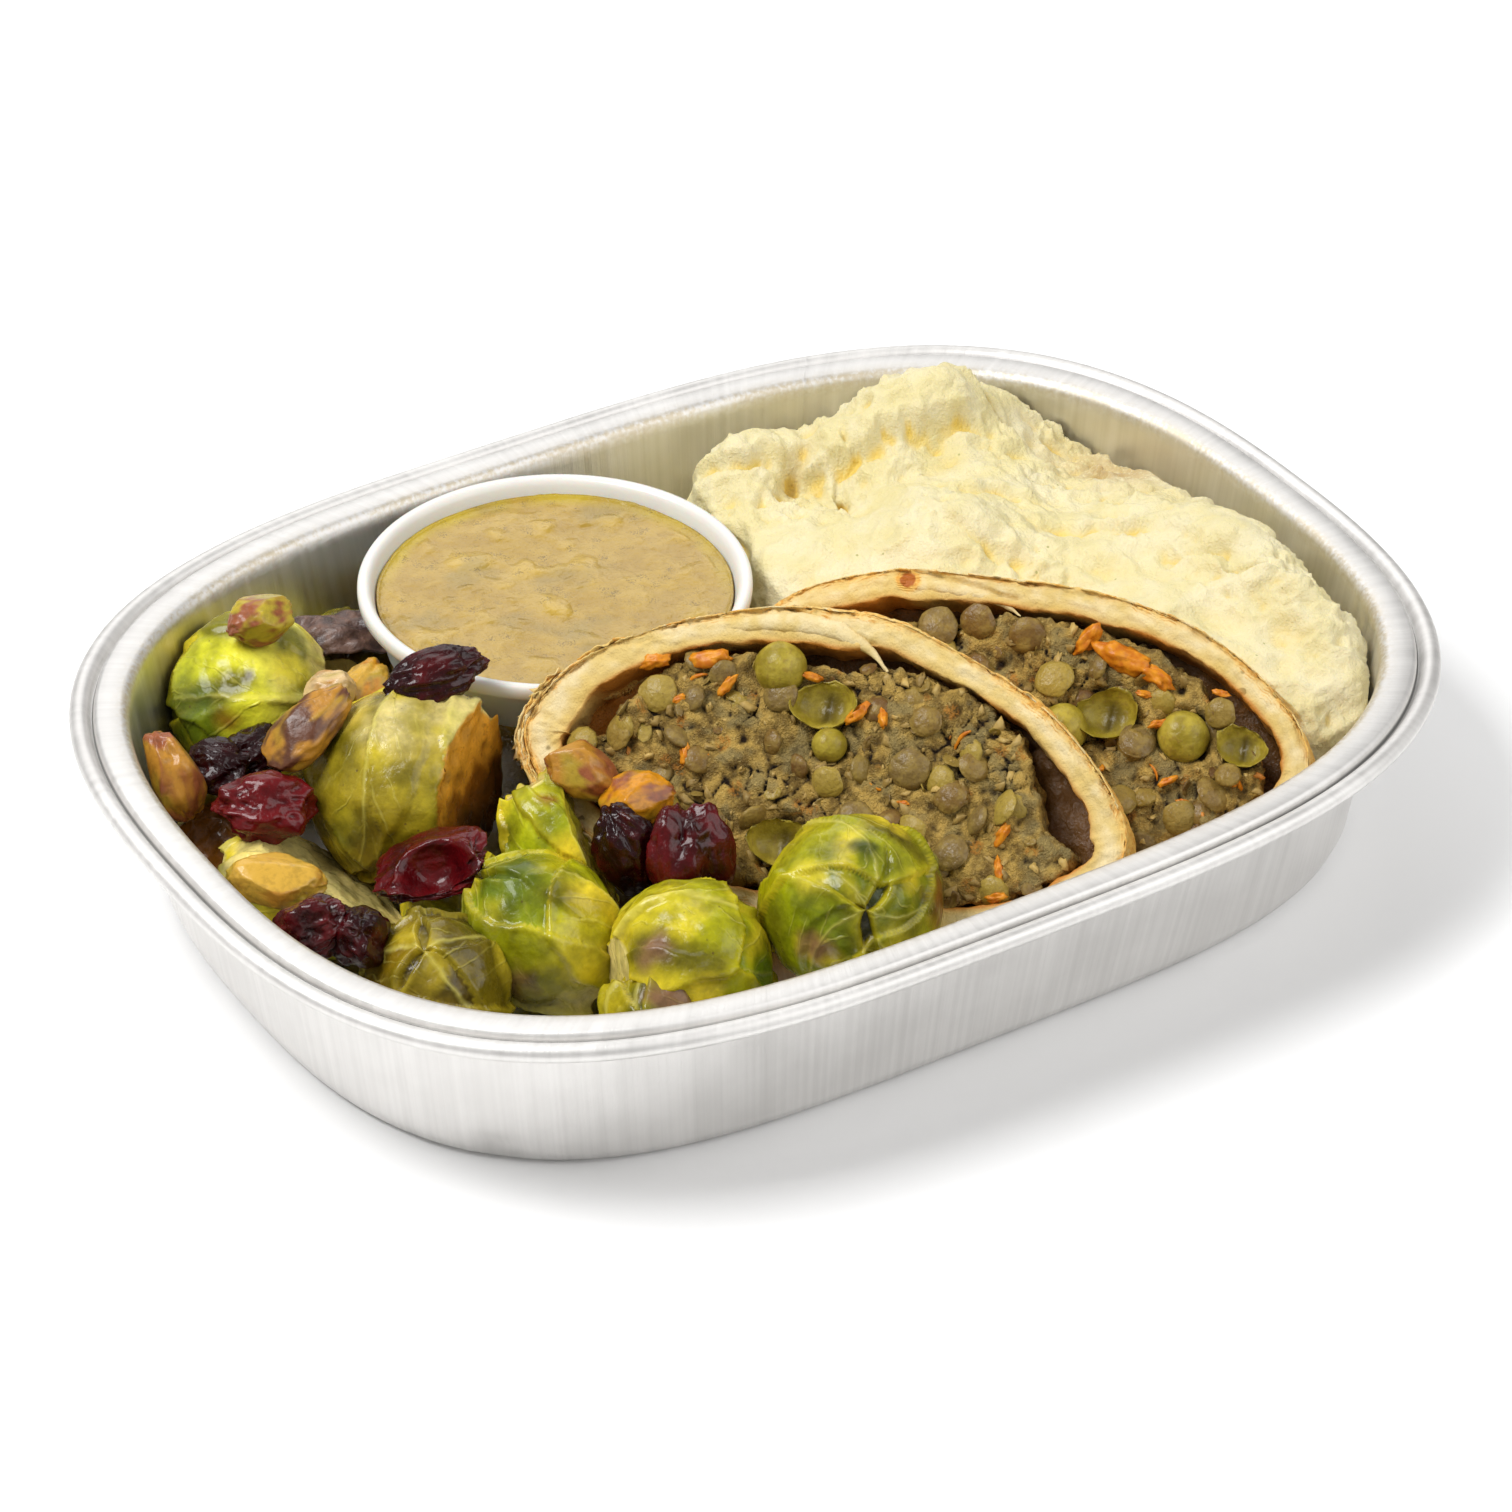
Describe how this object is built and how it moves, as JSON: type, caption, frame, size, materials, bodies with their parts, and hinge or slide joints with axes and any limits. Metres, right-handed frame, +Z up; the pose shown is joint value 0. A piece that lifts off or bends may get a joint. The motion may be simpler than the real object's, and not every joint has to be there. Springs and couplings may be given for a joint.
{
  "type": "tray of lentil wellington",
  "caption": "Oval foil tray with leaning slices of lentil wellington, a cup of gravy, mashed potato and roast sprouts with nuts and dried berries.",
  "frame": {"origin": "centre of the tray's flat base, on the surface that it stands on", "axes": "+X along the tray's length towards the mashed potato, +Y towards the back wall where the cup stands, +Z up"},
  "size_m": [0.2062, 0.1566, 0.0457],
  "materials": {
    "foil": "satin pressed foil",
    "cup_plastic": "translucent white",
    "gravy": "wet and glossy",
    "pastry": "baked, flaky",
    "lentil_filling": "moist, crumbly",
    "mashed_potato": "soft, moist",
    "sprout": "oiled leaves, roasted in places",
    "charred_leaf": "charred",
    "pistachio": "oiled nut with papery skin",
    "cranberry": "wet, wrinkled skin"
  },
  "bodies": {
    "root": {"cranberry_behind": "cranberry", "cranberry_by_cup": "cranberry", "cranberry_dark": "cranberry", "cranberry_front": "cranberry", "cranberry_left": "cranberry", "cranberry_low_left": "cranberry", "cranberry_low_right": "cranberry", "cranberry_open": "cranberry", "cranberry_shiny": "cranberry", "filling_back": "lentil_filling", "filling_front": "lentil_filling", "foil_tray": "foil", "gravy": "gravy", "gravy_cup": "cup_plastic", "loose_leaf": "charred_leaf", "mashed_potato": "mashed_potato", "pastry_back": "pastry", "pastry_front": "pastry", "pistachio_back": "pistachio", "pistachio_behind_sprout": "pistachio", "pistachio_by_slice": "pistachio", "pistachio_left_wall": "pistachio", "pistachio_on_sprout": "pistachio", "pistachio_orange": "pistachio", "pistachio_pale": "pistachio", "pistachio_yellow": "pistachio", "sprout_back_left": "sprout", "sprout_by_cup": "sprout", "sprout_front_large": "sprout", "sprout_front_left": "sprout", "sprout_front_middle": "sprout", "sprout_front_right": "sprout", "sprout_half_left": "sprout", "sprout_half_middle": "sprout", "sprout_low_front": "sprout", "sprout_low_left": "sprout", "sprout_low_middle": "sprout", "sprout_middle_large": "sprout"}
  },
  "joints": []
}
